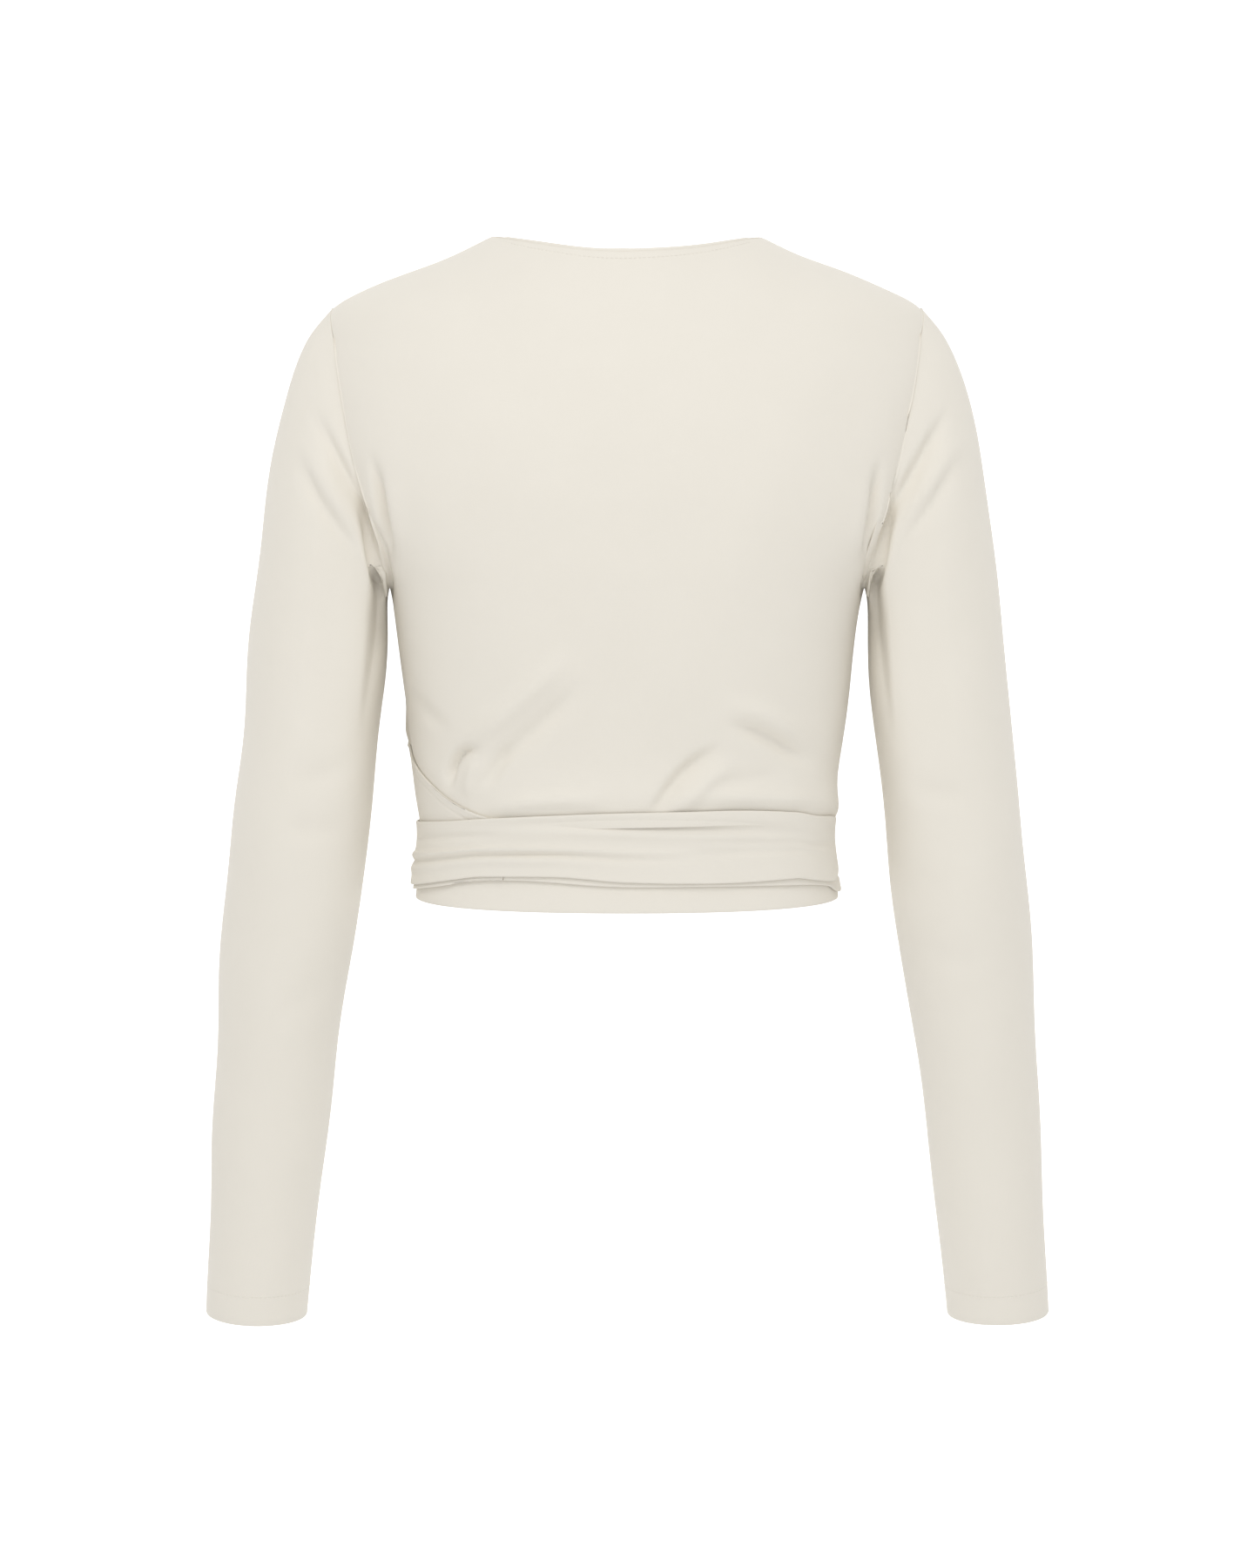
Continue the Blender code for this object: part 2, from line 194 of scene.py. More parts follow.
OVER_WRAP = {
    # turn: (lower edge, upper edge, plies out from the form)
    -81.0: (HEM, 0.0, 0.0),
    -54.0: (HEM, 0.0, 1.0),
    -27.0: (HEM, 0.0, 1.0),
    -9.0: (HEM, -127.0, 1.0),
    0.0: (HEM, -165.0, 1.0),
    18.0: (HEM, -215.0, 1.3),
    45.0: (HEM, -263.0, 1.3),
    72.0: (-387.0, -291.0, 1.0),
    90.0: (-384.0, -301.0, 1.0),
    110.0: (-379.5, -315.0, 1.0),
    124.0: (-375.5, -327.0, 1.0),
    137.0: (-372.0, -334.5, 1.0),
    150.0: (-371.0, -337.5, 1.0),
    180.0: (-373.8, -335.0, 1.0),
    205.0: (-374.0, -335.0, 1.0),
    236.0: (-376.0, -339.0, 1.0),
    252.0: (-379.0, -347.0, 1.0),
    261.0: (-384.0, -368.5, 1.0),
    279.0: (-384.5, -368.5, 1.0),
    306.0: (-374.0, -352.0, 2.0),
    OVER_END: (-364.0, -344.0, 2.0),
}

UNDER_WRAP = {
    # the same for the left front and its tie, turned the other way round
    -27.0: (HEM, 0.0, 0.0),
    -9.0: (HEM, -127.0, 0.0),
    0.0: (HEM, -165.0, -0.3),
    18.0: (HEM, -218.0, -0.5),
    45.0: (HEM, -275.0, -0.5),
    54.0: (-385.0, -295.0, -0.5),
    63.0: (-376.0, -316.0, -0.7),
    81.0: (SLIT_LOW, SLIT_HIGH, -1.0),
    85.5: (SLIT_LOW, SLIT_HIGH, -1.0),
    90.0: (SLIT_LOW, SLIT_HIGH, 0.05),
    94.5: (-364.0, -342.0, 1.1),
    99.0: (-371.0, -340.0, 2.0),
    103.5: (-376.5, -338.5, 2.0),
    118.0: (-374.0, -336.0, 2.0),
    128.0: (-371.5, -332.8, 2.0),
    155.0: (-372.0, -330.1, 2.0),
    180.0: (-371.0, -330.6, 2.0),
    200.0: (-368.2, -332.5, 2.0),
    223.0: (-369.5, -336.0, 2.0),
    236.0: (-373.0, -338.7, 2.0),
    258.0: (-379.0, -342.0, 2.0),
    270.0: (-381.0, -343.5, 2.0),
    300.0: (-376.0, -346.0, 2.3),
    345.0: (-369.0, -346.0, 2.3),
    UNDER_END: (-364.0, -344.0, 2.0),
}

over_low, over_high, over_plies = (curve(OVER_WRAP, k, soften=1.5) for k in range(3))
under_low, under_high, under_plies = (curve(UNDER_WRAP, k, soften=1.0) for k in range(3))


def slit(z):
    """Share of the slit's gape at a height."""
    return rise(SLIT_LOW - SLIT_TAPER, SLIT_LOW, z) * (1 - rise(SLIT_HIGH, SLIT_HIGH + SLIT_TAPER, z))


# %% [markdown]
# ## Folds placed one by one
# Jersey hangs in a few soft folds where it is held: over the waist tie, at the armpits and at the
# elbows. A cloth simulation would fold it somewhere else each time the form changed, so each fold is
# a row: three points that it runs through, its height (a trough is negative), its half width, and
# how much steeper one flank is than the other. A fold dies out towards both of its ends.

# %% Lift of a set of folds
def run_along(path):
    """Distance along a row of points, from the first one."""
    return np.concatenate([[0.0], np.cumsum(np.linalg.norm(np.diff(path, axis=0), axis=1))])


def fold_lift(across, up, folds):
    """Height of all folds together at points given by two coordinates in millimetres."""
    lift = np.zeros_like(across)
    share = np.linspace(0.0, 1.0, 41)[:, None]
    for start, middle, end, height, half, skew in folds.values():
        start, middle, end = (np.array(p, float) for p in (start, middle, end))
        control = 2 * middle - (start + end) / 2
        path = (1 - share) ** 2 * start + 2 * share * (1 - share) * control + share**2 * end
        along = np.gradient(path, axis=0)
        along /= np.linalg.norm(along, axis=1)[:, None]
        run = run_along(path)
        near_fold = (across > path[:, 0].min() - 4 * half) & (across < path[:, 0].max() + 4 * half)
        near_fold &= (up > path[:, 1].min() - 4 * half) & (up < path[:, 1].max() + 4 * half)
        if not near_fold.any():
            continue
        dx = across[near_fold][:, None] - path[:, 0]
        dz = up[near_fold][:, None] - path[:, 1]
        k = np.argmin(dx * dx + dz * dz, axis=1)
        pick = np.arange(len(k))
        dx, dz, direction = dx[pick, k], dz[pick, k], along[k]
        off = dx * -direction[:, 1] + dz * direction[:, 0]
        place = (run[k] + dx * direction[:, 0] + dz * direction[:, 1]) / run[-1]
        width = half * np.where(off > 0, 1 + skew, 1 - skew)
        fade = rise(-0.02, 0.38, place) * (1 - rise(0.62, 1.02, place))
        lift[near_fold] += height * np.exp(-((off / width) ** 2)) * fade
    return lift


def ripple(at, pitch, seed):
    """An uneven wave between -1 and 1 along one coordinate, for small gathers."""
    draw = np.random.default_rng(seed)
    wave = np.zeros_like(at)
    for harmonic in (0.57, 1.0, 1.63, 2.4):
        wave += np.sin(2 * np.pi * harmonic * at / pitch + draw.uniform(0, 2 * np.pi)) / harmonic**0.6
    return wave / 3.2


# %% [markdown]
# ## From a grid to a sheet of cloth
# Each piece is a grid of points in space. Its folds are heights along the grid's own normals. A seam
# allowance turns the last column or row inwards round a small radius, which leaves the fine groove of
# a real seam. Solidify gives the wall, and a small bevel rounds its raw edges.

# %% Grids, normals and turned-in edges
def normals_of(points):
    """Unit normals of a grid of points, rows first, pointing away from the wearer."""
    along_rows = np.gradient(points, axis=0)
    along_columns = np.gradient(points, axis=1)
    normal = np.cross(along_columns, along_rows)
    return normal / np.maximum(np.linalg.norm(normal, axis=-1, keepdims=True), 1e-9)


def turn_in(points, flat, edge, roll=90.0, radius=0.5, depth=5.0):
    """Rolls one edge inwards through roll degrees, then adds depth. Edges: left, right, low, high."""
    axis, last = {"left": (1, 0), "right": (1, -1), "low": (0, 0), "high": (0, -1)}[edge]
    further = 4 if last == 0 else -5
    normal = np.take(normals_of(points), last, axis=axis)
    rim = np.take(points, last, axis=axis)
    outward = rim - np.take(points, further, axis=axis)
    outward -= (outward * normal).sum(-1, keepdims=True) * normal
    outward /= np.maximum(np.linalg.norm(outward, axis=-1, keepdims=True), 1e-9)
    flat_rim = np.take(flat, last, axis=axis)
    flat_out = flat_rim - np.take(flat, further, axis=axis)
    flat_out /= np.maximum(np.linalg.norm(flat_out, axis=-1, keepdims=True), 1e-9)
    roll, radius, depth = (np.broadcast_to(v, rim.shape[:1])[:, None] for v in (roll, radius, depth))
    roll = np.radians(roll)
    rings, flats = [], []
    for part in (0.0, 0.25, 0.5, 0.75, 1.0):
        c, s = np.cos(roll * part), np.sin(roll * part)
        rings.append(rim + outward * radius * (s - 1) - normal * radius * (1 - c))
        flats.append(flat_rim + flat_out * radius * (roll * part - 1))
    heading = outward * np.cos(roll) - normal * np.sin(roll)
    for down in (0.5, 1.0):
        rings.append(rings[4] + heading * depth * down)
        flats.append(flats[4] + flat_out * depth * down)
    kept, kept_flat = np.delete(points, last, axis=axis), np.delete(flat, last, axis=axis)
    if last == 0:
        rings, flats = rings[::-1], flats[::-1]
    blocks = [np.stack(rings, axis=axis), np.stack(flats, axis=axis)]
    pairs = [[blocks[0], kept], [blocks[1], kept_flat]]
    return tuple(np.concatenate(pair if last == 0 else pair[::-1], axis=axis) for pair in pairs)


def turn_side(points, flat, edge):
    """A side seam's allowance, which runs out at the shoulder tip, where the columns crowd together."""
    z = points[:, 0 if edge == "left" else -1, 2]
    kept = 1 - rise(SHOULDER_TIP - 16.0, SHOULDER_TIP - 5.0, z)
    return turn_in(points, flat, edge, 90.0, 0.02 + 0.48 * kept, 0.2 + 4.8 * kept)


def measure(points):
    """Flat coordinates of a grid in millimetres: distance along its rows and up its columns."""
    across = np.linalg.norm(np.diff(points, axis=1), axis=-1)
    up = np.linalg.norm(np.diff(points, axis=0), axis=-1)
    u = np.concatenate([np.zeros((len(points), 1)), np.cumsum(across, axis=1)], axis=1)
    v = np.concatenate([np.zeros((1, points.shape[1])), np.cumsum(up, axis=0)], axis=0)
    return np.stack([u - u[:, -1:] / 2, v], axis=-1)


def sheet_mesh(name, points, flat, closed=False):
    """A mesh of a grid, in metres, with its flat coordinates as a UV map named cloth."""
    rows, columns = points.shape[:2]
    index = np.arange(rows * columns).reshape(rows, columns)
    if closed:
        index[:, -1] = index[:, 0]
    faces = np.stack([index[:-1, :-1], index[:-1, 1:], index[1:, 1:], index[1:, :-1]], axis=-1)
    corners = np.arange(rows * columns).reshape(rows, columns)
    loops = np.stack([corners[:-1, :-1], corners[:-1, 1:], corners[1:, 1:], corners[1:, :-1]], axis=-1)
    faces, loops = faces.reshape(-1, 4), loops.reshape(-1)
    used, faces = np.unique(faces, return_inverse=True)
    mesh = bpy.data.meshes.new(name)
    mesh.from_pydata((points.reshape(-1, 3)[used] * MM).tolist(), [], faces.reshape(-1, 4).tolist())
    uv = mesh.uv_layers.new(name="cloth")
    uv.data.foreach_set("uv", (flat.reshape(-1, 2)[loops] * MM).astype(np.float32).reshape(-1))
    mesh.shade_smooth()
    return mesh


def add_object(name, data):
    added = bpy.data.objects.new(name, data)
    bpy.context.scene.collection.objects.link(added)
    return added


pieces = {}


def make_piece(name, nodes, material, points, flat, closed=False, wall=WALL):
    """An object for one cut piece: it replaces its solids, rides on the garment and gets its wall."""
    mesh = sheet_mesh(name, points, flat, closed)
    mesh.materials.append(material)
    piece = add_object(name, mesh)
    solidify = piece.modifiers.new("wall", "SOLIDIFY")
    solidify.thickness = wall * MM
    solidify.offset = -1
    bevel = piece.modifiers.new("soft edge", "BEVEL")
    bevel.width = 0.4 * wall * MM
    bevel.segments = 2
    bevel.limit_method = "ANGLE"
    bevel.angle_limit = math.radians(60)
    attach(piece, "root")
    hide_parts(*([nodes] if isinstance(nodes, str) else nodes))
    pieces[name] = piece
    area = sum(face.area for face in mesh.polygons)
    across = np.linalg.norm(np.diff(points, axis=1), axis=-1).sum(axis=1).max() * MM
    along = np.linalg.norm(np.diff(points, axis=0), axis=-1).sum(axis=0).max() * MM
    print(f"{name}: {across:.3f} x {along:.3f} m, {area:.4f} m2 of cloth, {len(mesh.polygons)} faces")
    return piece


# %% [markdown]
# ## Shader maths as Python
# A wrapped socket can be added and multiplied like a number, so a pattern reads as its formula.

# %% Sockets and trees
class Value:
    """One output socket with arithmetic. Each operation adds a Math node."""

    def __init__(self, tree, socket):
        self.tree, self.socket = tree, socket

    def math(self, operation, other=None, swapped=False):
        inputs = [self] if other is None else ([other, self] if swapped else [self, other])
        return self.tree.add("ShaderNodeMath", {"operation": operation}, *inputs)

    def __add__(self, other):
        return self.math("ADD", other)

    def __mul__(self, other):
        return self.math("MULTIPLY", other)

    def __sub__(self, other):
        return self.math("SUBTRACT", other)

    def __rsub__(self, other):
        return self.math("SUBTRACT", other, swapped=True)

    def __truediv__(self, other):
        return self.math("DIVIDE", other)

    __radd__ = __add__
    __rmul__ = __mul__


class Tree:
    """A material's nodes. add() takes a type, its settings, then the values or links of its sockets."""

    def __init__(self, name):
        self.material = bpy.data.materials.new(name)
        self.material.use_nodes = True
        self.nodes = self.material.node_tree.nodes
        self.shader = self.nodes["Principled BSDF"]

    def put(self, socket, value):
        if isinstance(value, Value):
            self.material.node_tree.links.new(value.socket, socket)
        else:
            socket.default_value = value

    def add(self, kind, settings=None, *values, output=0, **named):
        node = self.nodes.new(kind)
        for key, setting in (settings or {}).items():
            setattr(node, key, setting)
        for socket, value in zip(node.inputs, values):
            self.put(socket, value)
        for key, value in named.items():
            self.put(node.inputs[key.replace("_", " ")], value)
        return Value(self, node.outputs[output])

    def set(self, **named):
        for key, value in named.items():
            self.put(self.shader.inputs[key.replace("_", " ")], value)


# %% [markdown]
# ## Cream jersey
# Single jersey shows columns of small V stitches on its face. A scan would freeze one scale, so the
# stitches are a formula on the cloth's own flat coordinates: a V's two legs lean towards each other,
# and each course repeats up the column. They tilt the light, and a painted shade darkens and warms
# their hollows a little. The yarn is a little uneven, so colour and roughness drift very slightly.

# %% The jersey material
WALE = 0.00085
COURSE = 0.00070


def jersey(name, colour, tint=1.0):
    tree = Tree(name)
    flat = tree.add("ShaderNodeUVMap", {"uv_map": "cloth"})
    u = tree.add("ShaderNodeSeparateXYZ", None, flat, output=0)
    v = Value(tree, u.socket.node.outputs[1])
    column = (u / WALE).math("FRACT")
    lean = (column - 0.5).math("ABSOLUTE") * 2.0
    course = ((v / COURSE + lean * 0.45) * (2 * math.pi)).math("SINE")
    leg = 1.0 - (lean - 0.5).math("ABSOLUTE") * 2.0
    stitch = (course * 0.35 + 0.65) * leg
    drift = tree.add("ShaderNodeTexNoise", {"noise_dimensions": "3D"}, Vector=flat, Scale=38.0, Detail=3.0)
    yarn = tree.add("ShaderNodeTexNoise", {"noise_dimensions": "3D"}, Vector=flat, Scale=900.0, Detail=2.0)
    # painted shade: the stitch term darkens and warms the hollows between stitches, towards the darker
    # colour below; drift and yarn are the yarn's own uneven tone
    tone_and_stitch_shade = drift * 0.045 + yarn * 0.03 + stitch * 0.02
    darker_yarn_and_stitch_shade = [c * 0.955 * tint for c in colour]
    base = tree.add("ShaderNodeMix", {"data_type": "RGBA"}, Factor=tone_and_stitch_shade * 8.0, output=2)
    mix = base.socket.node  # its colours A and B are inputs 6 and 7
    mix.inputs[6].default_value = (darker_yarn_and_stitch_shade[0], darker_yarn_and_stitch_shade[1] * 0.997, darker_yarn_and_stitch_shade[2] * 0.985, 1.0)
    mix.inputs[7].default_value = (*[c * tint for c in colour], 1.0)
    height = stitch * 0.7 + yarn * 0.3
    bump = tree.add("ShaderNodeBump", None, Strength=0.35, Distance=0.00016, Height=height)
    tree.set(Base_Color=base, Roughness=drift * 0.08 + 0.78, Normal=bump)
    tree.set(Specular_IOR_Level=0.25, Sheen_Weight=0.12, Sheen_Roughness=0.45)
    return tree.material


CREAM = (0.85, 0.81, 0.732)
cream = jersey("cream_jersey", CREAM)
cream_tie = jersey("cream_tie", CREAM, tint=0.985)
thread = jersey("cream_thread", CREAM, tint=0.97)
print(f"jersey: {WALE * 1000:.2f} mm a wale")

# %% [markdown]
# ## Lines of stitches
# A turned edge is held by a row of small stitches. Each one is a short rounded bar that sits in the
# groove it presses into the cloth. Bump alone would be flat from the side, and a modelled thread
# catches its own light.

# %% Paths along an edge, and stitches on them
STITCH_PITCH = 2.7
STITCH_LENGTH = 2.0
STITCH_RADIUS = 0.2


def edge_path(points, edge, distance, keep):
    """Points and normals at a distance from the low or high edge of a grid, for columns to keep."""
    normals = normals_of(points)
    columns = []
    for k in np.flatnonzero(keep):
        line, facing = points[:, k], normals[:, k]
        if edge == "high":
            line, facing = line[::-1], facing[::-1]
        run = run_along(line)
        spot = [np.interp(distance, run, line[:, i]) for i in range(3)]
        columns.append(spot + [np.interp(distance, run, facing[:, i]) for i in range(3)])
    return np.array(columns)


def stitch_row(name, path, pitch=STITCH_PITCH):
    """One mesh of small rounded bars along a path of points and normals."""
    run = run_along(path[:, :3])
    at = np.arange(pitch / 2, run[-1], pitch)
    spot = np.stack([np.interp(at, run, path[:, i]) for i in range(6)], axis=1)
    ahead = np.stack([np.interp(at + 0.5, run, path[:, i]) for i in range(3)], axis=1)
    along = ahead - np.stack([np.interp(at - 0.5, run, path[:, i]) for i in range(3)], axis=1)
    along /= np.linalg.norm(along, axis=1, keepdims=True)
    out = spot[:, 3:] / np.linalg.norm(spot[:, 3:], axis=1, keepdims=True)
    aside = np.cross(along, out)
    sides = np.linspace(0, 2 * np.pi, 6, endpoint=False)
    verts, faces = [], []
    for centre, a, o, s in zip(spot[:, :3], along, out, aside):
        base = len(verts)
        for place, width in ((-0.5, 0.35), (-0.3, 1.0), (0.3, 1.0), (0.5, 0.35)):
            sunk = 0.05 - 0.5 * abs(place) ** 2
            for side in sides:
                around = s * math.cos(side) * 1.2 + o * math.sin(side) * 0.8
                verts.append(centre + a * place * STITCH_LENGTH + o * sunk + around * STITCH_RADIUS * width)
        for ring in range(3):
            for k in range(6):
                n = base + ring * 6
                faces.append((n + k, n + (k + 1) % 6, n + 6 + (k + 1) % 6, n + 6 + k))
        faces.append(tuple(base + k for k in range(5, -1, -1)))
        faces.append(tuple(base + 18 + k for k in range(6)))
    mesh = bpy.data.meshes.new(name)
    mesh.from_pydata((np.array(verts) * MM).tolist(), [], faces)
    uv = mesh.uv_layers.new(name="cloth")
    corners = np.array([loop.vertex_index for loop in mesh.loops])
    uv.data.foreach_set("uv", (np.array(verts)[corners][:, [0, 2]] * MM).astype(np.float32).reshape(-1))
    mesh.shade_smooth()
    mesh.materials.append(thread)
    row = add_object(name, mesh)
    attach(row, "root")
    print(f"{name}: {len(at)} stitches")
    return row


# %% [markdown]
# ## Breath in the cloth
# Real jersey is never as even as a formula. A few long, shallow waves through space move neighbouring
# layers nearly the same way. Turned edges still cross a little inside the seams and under the ties.
# Close to an armhole the waves fade, because the sleeve and the body face different ways there.

# %% Long waves, shared by all pieces
draw = np.random.default_rng(7)
WAVES = []
for _ in range(10):
    direction = draw.normal(size=3) * (1.0, 1.0, 0.7)
    direction /= np.linalg.norm(direction)
    WAVES.append((direction * 2 * np.pi / draw.uniform(52, 130), draw.uniform(0, 2 * np.pi)))


def breath(points, height=0.26):
    return height * sum(np.sin(points @ wave + phase) for wave, phase in WAVES)


def from_side(turn):
    """Degrees between a turn and the nearer side seam."""
    return np.abs(np.abs((turn + 180.0) % 360.0 - 180.0) - 90.0)


def off_the_armhole(turn, z):
    """0 on the armhole seam, 1 well away from it."""
    return 1 - (1 - rise(0.0, 2.5, from_side(turn))) * rise(UNDERARM - 25.0, UNDERARM, z)


def off_the_sides(turn):
    """0 on a side seam, 1 well away from it."""
    return rise(0.0, 4.0, from_side(turn))


OVER_FROM, UNDER_UP_TO = 72.0, 261.0  # turns between which each wrap has a free upper edge
BELOW_ALL = -400.0


def above_the_ties(turn, z, room=4.0):
    """0 behind the ties and 1 from a little above them, then the height over their upper edge."""
    full_turn = turn % 360.0
    over = over_high(np.where(full_turn > OVER_END, OVER_END, np.maximum(full_turn, OVER_FROM)))
    under = under_high(np.where(full_turn < UNDER_UP_TO, 360.0 - full_turn, UNDER_END))
    under = np.where(full_turn < -KNOT_TURN, under_high(360.0 - full_turn), under)
    wrapped = (full_turn > OVER_FROM) & (full_turn < OVER_END)
    upper = np.maximum(np.where(wrapped, over, BELOW_ALL), under)
    upper = np.where(full_turn > OVER_END, under_high(720.0 - full_turn), upper)
    return rise(upper - 0.5, upper + room, z), z - upper


# %% [markdown]
# ## The back
# One panel from side seam to side seam. The tie round the waist pushes it into short folds that fan
# up from the tie, and the armpits pull a crease down each side. Its neck is a turned edge.

# %% The back panel
BACK_FOLDS = {
    # name: (start, middle, end, height, half width, skew), in x and z
    "left_long_ridge": ((30, -234), (62, -266), (98, -298), 4.2, 6.5, 0.0),
    "left_long_trough": ((22, -252), (52, -282), (84, -309), -3.6, 5.5, 0.0),
    "left_deep_crease": ((82, -295), (98, -301), (103, -322), -5.5, 2.6, 0.2),
    "left_deep_ridge": ((84, -300), (90, -309), (93, -326), 2.4, 3.6, 0.0),
    "left_second_trough": ((64, -290), (74, -303), (82, -320), -3.0, 3.6, 0.0),
    "left_over_tie": ((84, -331), (50, -324), (12, -323), 2.2, 4.0, 0.0),
    "right_crease": ((-58, -292), (-34, -306), (-12, -336), -5.0, 4.2, -0.25),
    "right_crease_ridge": ((-66, -300), (-42, -316), (-24, -336), 2.8, 4.6, 0.0),
    "right_high_crease": ((-54, -279), (-82, -288), (-110, -309), -4.4, 4.0, 0.2),
    "right_high_ridge": ((-52, -268), (-82, -276), (-110, -298), 2.8, 5.5, 0.0),
    "right_low_trough": ((-44, -318), (-66, -313), (-94, -311), -1.4, 4.5, 0.0),
    "right_over_tie": ((-34, -322), (-75, -323), (-121, -328), 2.2, 4.0, 0.0),
    "left_side_drag": ((128, -262), (116, -276), (100, -286), -1.6, 5.0, 0.0),
    "left_armpit": ((147, -124), (143, -152), (137, -192), -7.0, 2.9, -0.2),
    "left_armpit_low": ((149, -160), (142, -188), (138, -218), -3.2, 3.0, 0.0),
    "left_armpit_ridge": ((138, -134), (134, -160), (131, -188), 1.6, 6.0, 0.0),
    "right_armpit": ((-146, -126), (-143, -155), (-136, -192), -6.6, 2.9, 0.2),
    "right_armpit_low": ((-149, -160), (-142, -188), (-138, -218), -3.2, 3.0, 0.0),
    "right_armpit_ridge": ((-137, -138), (-134, -162), (-131, -188), 1.5, 6.0, 0.0),
}

PITCH = 2.0
NECK_TURNING = 6.0
HEM_RADIUS = 0.75
BACK_HEM, FRONT_HEM, FRONT_HEM_STITCH = 12.0, 10.0, 11.0
SEAM_ALLOWANCE = 5.0


def panel_shares():
    """Row shares of a side seam and its armhole, crowded at both ends of the armhole."""
    below = np.linspace(HEM, UNDERARM, int((UNDERARM - HEM) / PITCH), endpoint=False)
    middle, half = (SHOULDER_TIP + UNDERARM) / 2, (SHOULDER_TIP - UNDERARM) / 2
    armhole = middle - half * np.cos(np.linspace(0, np.pi, 73))
    return (np.concatenate([below, armhole]) - HEM) / (SHOULDER_TIP - HEM)


def turns(start, end, step=1.1):
    return np.linspace(start, end, int(abs(end - start) / step) + 1)


def back_top(turn):
    from_middle = np.minimum(np.abs(turn - 180.0) / NECK_TURN, 1.0)
    neck = BACK_NECK * (1 - from_middle**2) ** BACK_NECK_FLATNESS
    return np.where(from_middle < 1.0, neck, shoulder_top(turn))


def turning_groove(points, edge, distance, height=0.3, half=1.1):
    """Lift of the fine groove that a line of stitches presses into the cloth along one edge."""
    along = points if edge == "low" else points[::-1]
    run = np.cumsum(np.linalg.norm(np.diff(along, axis=0, prepend=along[:1]), axis=-1), axis=0)
    run = run if edge == "low" else run[::-1]
    return -height * np.exp(-(((run - distance) / half) ** 2))


def turn_top(points, flat, roll, allowances):
    """Turns in a top edge of shoulder and neck. The columns of the side allowances hardly turn."""
    radius = np.pad(0.5 + 0.25 * (roll - 90.0) / 90.0, allowances, constant_values=0.08)
    depth = np.pad(np.full(len(roll), SEAM_ALLOWANCE), allowances, constant_values=0.3)
    return turn_in(points, flat, "high", np.pad(roll, allowances, mode="edge"), radius, depth)


def blouse(turn, x, above):
    """The soft roll of cloth that stands over a tie, almost as far out as the tie."""
    at_back = turn > 90.0
    rolled = 2.1 * rise(np.where(at_back, -3.6, -1.5), np.where(at_back, -0.5, 1.5), above)
    rolled += (0.7 + 0.9 * ripple(x, 46.0, 5)) * rise(1.0, 9.0, above)
    rolled *= np.exp(-((np.maximum(above - 7.0, 0) / 13.0) ** 2))
    on_wrap = rise(138.0, 156.0, turn) + (turn < 88.0)
    return rolled * (0.25 + 0.75 * np.minimum(on_wrap, 1.0))


def back_panel():
    turn, share = np.meshgrid(turns(90.0, 270.0), panel_shares())
    z = HEM + (back_top(turn) - HEM) * share
    shown = turn - SLIT_GAPE * slit(z) * rise(256.0, 270.0, turn)
    points = on_form(shown, z, True, 0.0)
    clear, above = above_the_ties(turn, z)
    lift = fold_lift(points[..., 0], z, BACK_FOLDS) * clear
    lift = (lift * off_the_sides(turn) + breath(points)) * off_the_armhole(turn, z)
    lift += blouse(turn, points[..., 0], above)
    neck = rise(NECK_TURN, NECK_TURN - 3.0, np.abs(turn - 180.0))
    lift += turning_groove(points, "high", NECK_TURNING) * neck
    points += normals_of(points) * lift[..., None]
    flat = measure(points)
    stitches = edge_path(points, "high", NECK_TURNING, np.abs(turn[0] - 180.0) < NECK_TURN - 1.5)
    roll = 90.0 + 90.0 * rise(NECK_TURN + 1.0, NECK_TURN - 2.0, np.abs(turn[0] - 180.0))
    for side in ("left", "right"):
        points, flat = turn_side(points, flat, side)
    points, flat = turn_top(points, flat, roll, (6, 6))
    points, flat = turn_in(points, flat, "low", 180.0, HEM_RADIUS, depth=BACK_HEM)
    piece = make_piece("back_cloth", "back", cream, points, flat)
    return piece, stitch_row("back_neck_stitches", stitches)


back, back_stitches = back_panel()

# %% [markdown]
# ## The fronts
# The fronts share one set of folds, as two layers worn together do: drag lines from the bust to the
# knot, and short puckers over the tie. The left front is made first, then the right one over it.

# %% The two fronts
FRONT_FOLDS = {
    "knot_pucker_high": ((-52, -340), (-34, -300), (-12, -252), -3.4, 5.0, 0.3),
    "knot_ridge_high": ((-42, -338), (-22, -304), (6, -264), 2.6, 6.0, 0.0),
    "knot_pucker_steep": ((-62, -340), (-68, -300), (-86, -250), -3.6, 4.6, -0.2),
    "knot_ridge_steep": ((-73, -338), (-81, -304), (-99, -264), 2.6, 6.0, 0.0),
    "knot_pucker_side": ((-82, -338), (-98, -312), (-118, -284), -2.8, 4.0, 0.2),
    "bust_drag_right": ((-104, -232), (-94, -262), (-84, -296), -2.0, 6.5, 0.0),
    "left_drag_long": ((112, -300), (66, -276), (14, -230), -3.2, 5.5, 0.3),
    "left_drag_ridge": ((114, -312), (70, -290), (26, -252), 2.6, 6.5, 0.0),
    "left_drag_short": ((110, -326), (74, -312), (34, -294), -2.8, 4.6, -0.2),
    "left_over_tie": ((96, -330), (58, -330), (16, -334), 1.6, 5.0, 0.0),
    "right_over_tie": ((-84, -334), (-100, -330), (-114, -326), 1.5, 5.0, 0.0),
    "left_armpit": ((144, -136), (138, -162), (128, -194), -3.8, 4.0, 0.0),
    "right_armpit": ((-145, -140), (-140, -166), (-131, -192), -4.0, 4.0, 0.0),
    "left_hollow": ((128, -118), (116, -142), (102, -162), -2.2, 6.5, 0.0),
    "right_hollow": ((-126, -114), (-112, -140), (-96, -158), -2.4, 6.5, 0.0),
}


